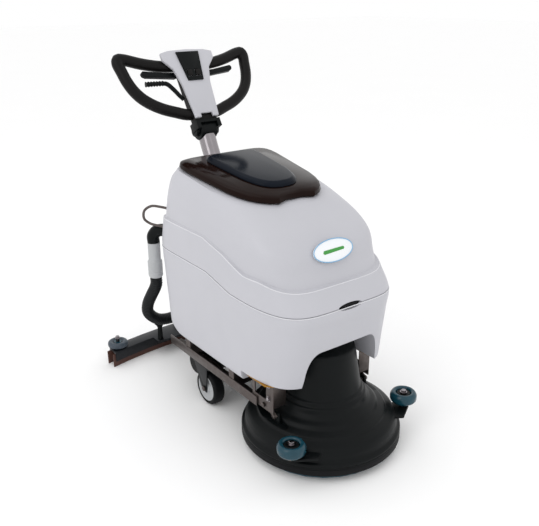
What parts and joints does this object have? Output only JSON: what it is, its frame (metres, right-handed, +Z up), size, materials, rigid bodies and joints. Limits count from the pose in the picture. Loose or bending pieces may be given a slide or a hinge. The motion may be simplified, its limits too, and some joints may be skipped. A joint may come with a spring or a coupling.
{
  "type": "walk-behind floor scrubber",
  "caption": "Walk-behind floor scrubber with stacked tanks, a round brush deck, a curved squeegee and a leaning loop handle.",
  "frame": {"origin": "centre of the footprint's bounding box, on the floor", "axes": "+Z up, front of the machine towards -Y, +X towards the machine's left side"},
  "size_m": [0.7, 1.155, 1.1651],
  "materials": {
    "white_polyethylene": "satin",
    "black_plastic": "satin",
    "gloss_black_plastic": "gloss",
    "black_paint": "satin",
    "grey_steel": "satin",
    "zinc_plated_steel": "satin",
    "chromed_steel": "polished",
    "black_rubber": "matte",
    "gum_rubber": "matte",
    "teal_plastic": "gloss",
    "pale_grey_plastic": "satin",
    "cast_aluminium": "satin"
  },
  "bodies": {
    "chassis": {"chassis_frame": "black_paint", "solution_tank": "white_polyethylene", "battery_right": "black_plastic", "battery_left": "black_plastic", "leg_bracket_right": "grey_steel", "leg_bracket_left": "grey_steel", "caster_fork_right": "zinc_plated_steel", "caster_fork_left": "zinc_plated_steel", "caster_axle_right": "zinc_plated_steel", "caster_axle_left": "zinc_plated_steel", "vacuum_motor": "black_plastic", "solution_valve": "black_plastic", "suction_hose": "black_rubber", "hose_cuff": "pale_grey_plastic", "column_tube": "chromed_steel"},
    "recovery_tank": {"recovery_tank": "white_polyethylene", "front_badge": "white_polyethylene", "float_cage": "pale_grey_plastic", "tank_elbow": "black_plastic", "hose_hook": "pale_grey_plastic"},
    "lid": {"lid": "gloss_black_plastic", "lid_window": "gloss_black_plastic", "lid_gasket": "black_rubber"},
    "float_ball": {"float_ball": "pale_grey_plastic"},
    "drain_cap": {"drain_cap": "black_plastic"},
    "handle_head": {"head_block": "black_plastic", "handle_loop": "black_plastic", "yoke_cover": "white_polyethylene", "control_panel": "black_plastic"},
    "trigger_right": {"trigger_right": "black_plastic"},
    "trigger_left": {"trigger_left": "black_plastic"},
    "squeegee_lever": {"squeegee_lever": "black_plastic"},
    "power_switch": {"power_switch": "black_plastic"},
    "water_switch": {"water_switch": "black_plastic"},
    "deck_pedal": {"deck_pedal": "black_paint"},
    "deck_links": {"deck_link_right": "zinc_plated_steel", "deck_link_left": "zinc_plated_steel"},
    "rear_link": {"deck_link_rear": "zinc_plated_steel"},
    "deck": {"deck_housing": "black_plastic", "deck_skirt": "black_rubber", "brush_motor": "grey_steel"},
    "brush": {"drive_hub": "zinc_plated_steel", "brush_disc": "black_plastic", "brush_bristles": "teal_plastic"},
    "bumper_right": {"bumper_roller_right": "teal_plastic"},
    "bumper_left": {"bumper_roller_left": "teal_plastic"},
    "wheel_right": {"wheel_hub_right": "pale_grey_plastic", "wheel_tyre_right": "black_rubber"},
    "wheel_left": {"wheel_hub_left": "pale_grey_plastic", "wheel_tyre_left": "black_rubber"},
    "tail_fork": {"tail_caster_fork": "zinc_plated_steel"},
    "tail_wheel": {"tail_caster_wheel": "pale_grey_plastic"},
    "squeegee_arm": {"squeegee_arm": "black_paint"},
    "squeegee": {"squeegee_body": "cast_aluminium", "squeegee_blade_front": "gum_rubber", "squeegee_blade_rear": "gum_rubber", "squeegee_knob_right": "black_plastic", "squeegee_knob_left": "black_plastic"},
    "squeegee_roller_right": {"squeegee_roller_right": "pale_grey_plastic"},
    "squeegee_roller_left": {"squeegee_roller_left": "pale_grey_plastic"}
  },
  "joints": [
    {"name": "recovery_tank_lift", "type": "slide", "parent": "chassis", "child": "recovery_tank", "axis": [0, 0, 1], "range_m": [0, 0.28]},
    {"name": "lid_open", "type": "hinge", "parent": "recovery_tank", "child": "lid", "pos_m": [0, 0.2225, 0.822], "axis": [-1, 0, 0], "range_deg": [0, 80]},
    {"name": "float_rise", "type": "slide", "parent": "recovery_tank", "child": "float_ball", "axis": [0, 0, 1], "range_m": [0, 0.1]},
    {"name": "drain_turn", "type": "hinge", "parent": "recovery_tank", "child": "drain_cap", "pos_m": [0.15, 0.3005, 0.572], "axis": [0, 1, 0], "range_deg": [-90, 0]},
    {"name": "handle_tilt", "type": "hinge", "parent": "chassis", "child": "handle_head", "pos_m": [0, 0.319, 0.899], "axis": [1, 0, 0], "range_deg": [-8, 0]},
    {"name": "trigger_right_pull", "type": "hinge", "parent": "handle_head", "child": "trigger_right", "pos_m": [0.048, 0.4179, 1.0826], "axis": [0, -0.848, 0.53], "range_deg": [0, 2.5], "stiffness_Nm_per_rad": 3, "springref_deg": -5.73},
    {"name": "trigger_left_pull", "type": "hinge", "parent": "handle_head", "child": "trigger_left", "pos_m": [-0.048, 0.4179, 1.0826], "axis": [0, 0.848, -0.53], "range_deg": [0, 2.5], "stiffness_Nm_per_rad": 3, "springref_deg": -5.73},
    {"name": "squeegee_lever_throw", "type": "hinge", "parent": "handle_head", "child": "squeegee_lever", "pos_m": [-0.054, 0.3702, 1.0063], "axis": [0, -0.848, 0.53], "range_deg": [0, 12]},
    {"name": "power_switch_rock", "type": "hinge", "parent": "handle_head", "child": "power_switch", "pos_m": [-0.016, 0.3814, 1.089], "axis": [1, 0, 0], "range_deg": [-8, 8]},
    {"name": "water_switch_rock", "type": "hinge", "parent": "handle_head", "child": "water_switch", "pos_m": [0.016, 0.3814, 1.089], "axis": [1, 0, 0], "range_deg": [-8, 8]},
    {"name": "pedal_press", "type": "hinge", "parent": "chassis", "child": "deck_pedal", "pos_m": [0.13, 0.2935, 0.172], "axis": [-1, 0, 0], "range_deg": [0, 16]},
    {"name": "deck_lift", "type": "hinge", "parent": "chassis", "child": "deck_links", "pos_m": [0, -0.2855, 0.167], "axis": [-1, 0, 0], "range_deg": [0, 24.72]},
    {"name": "rear_link_swing", "type": "hinge", "parent": "chassis", "child": "rear_link", "pos_m": [0, -0.1445, 0.167], "axis": [-1, 0, 0], "range_deg": [0, 24.72]},
    {"name": "deck_level", "type": "hinge", "parent": "deck_links", "child": "deck", "pos_m": [0, -0.32591, 0.143], "axis": [-1, 0, 0], "range_deg": [-24.72, 0]},
    {"name": "brush_spin", "type": "hinge", "parent": "deck", "child": "brush", "pos_m": [0, -0.3225, 0.06], "axis": [0, 0, 1], "continuous": true},
    {"name": "bumper_right_spin", "type": "hinge", "parent": "deck", "child": "bumper_right", "pos_m": [0.232, -0.4625, 0.124], "axis": [0, 0, 1], "continuous": true},
    {"name": "bumper_left_spin", "type": "hinge", "parent": "deck", "child": "bumper_left", "pos_m": [-0.232, -0.4625, 0.124], "axis": [0, 0, 1], "continuous": true},
    {"name": "wheel_right_roll", "type": "hinge", "parent": "chassis", "child": "wheel_right", "pos_m": [0.179, 0.0555, 0.0625], "axis": [1, 0, 0], "continuous": true},
    {"name": "wheel_left_roll", "type": "hinge", "parent": "chassis", "child": "wheel_left", "pos_m": [-0.179, 0.0555, 0.0625], "axis": [1, 0, 0], "continuous": true},
    {"name": "tail_caster_swivel", "type": "hinge", "parent": "chassis", "child": "tail_fork", "pos_m": [0, 0.3175, 0.12], "axis": [0, 0, 1], "continuous": true},
    {"name": "tail_wheel_roll", "type": "hinge", "parent": "tail_fork", "child": "tail_wheel", "pos_m": [0, 0.3395, 0.0375], "axis": [1, 0, 0], "continuous": true},
    {"name": "squeegee_lift", "type": "hinge", "parent": "chassis", "child": "squeegee_arm", "pos_m": [0, 0.2935, 0.172], "axis": [1, 0, 0], "range_deg": [0, 10], "deforming": ["suction_hose"]},
    {"name": "squeegee_swivel", "type": "hinge", "parent": "squeegee_arm", "child": "squeegee", "pos_m": [0, 0.4555, 0.06], "axis": [0, 0, 1], "range_deg": [-20, 20]},
    {"name": "squeegee_roller_right_spin", "type": "hinge", "parent": "squeegee", "child": "squeegee_roller_right", "pos_m": [0.304, 0.5305, 0.07], "axis": [0, 0, 1], "continuous": true},
    {"name": "squeegee_roller_left_spin", "type": "hinge", "parent": "squeegee", "child": "squeegee_roller_left", "pos_m": [-0.304, 0.5305, 0.07], "axis": [0, 0, 1], "continuous": true}
  ],
  "couplings": [
    {"joint": "deck_lift", "follows": "pedal_press", "ratio": 1.545},
    {"joint": "rear_link_swing", "follows": "pedal_press", "ratio": 1.545},
    {"joint": "deck_level", "follows": "pedal_press", "ratio": -1.545},
    {"joint": "squeegee_lift", "follows": "squeegee_lever_throw", "ratio": 0.8333}
  ]
}
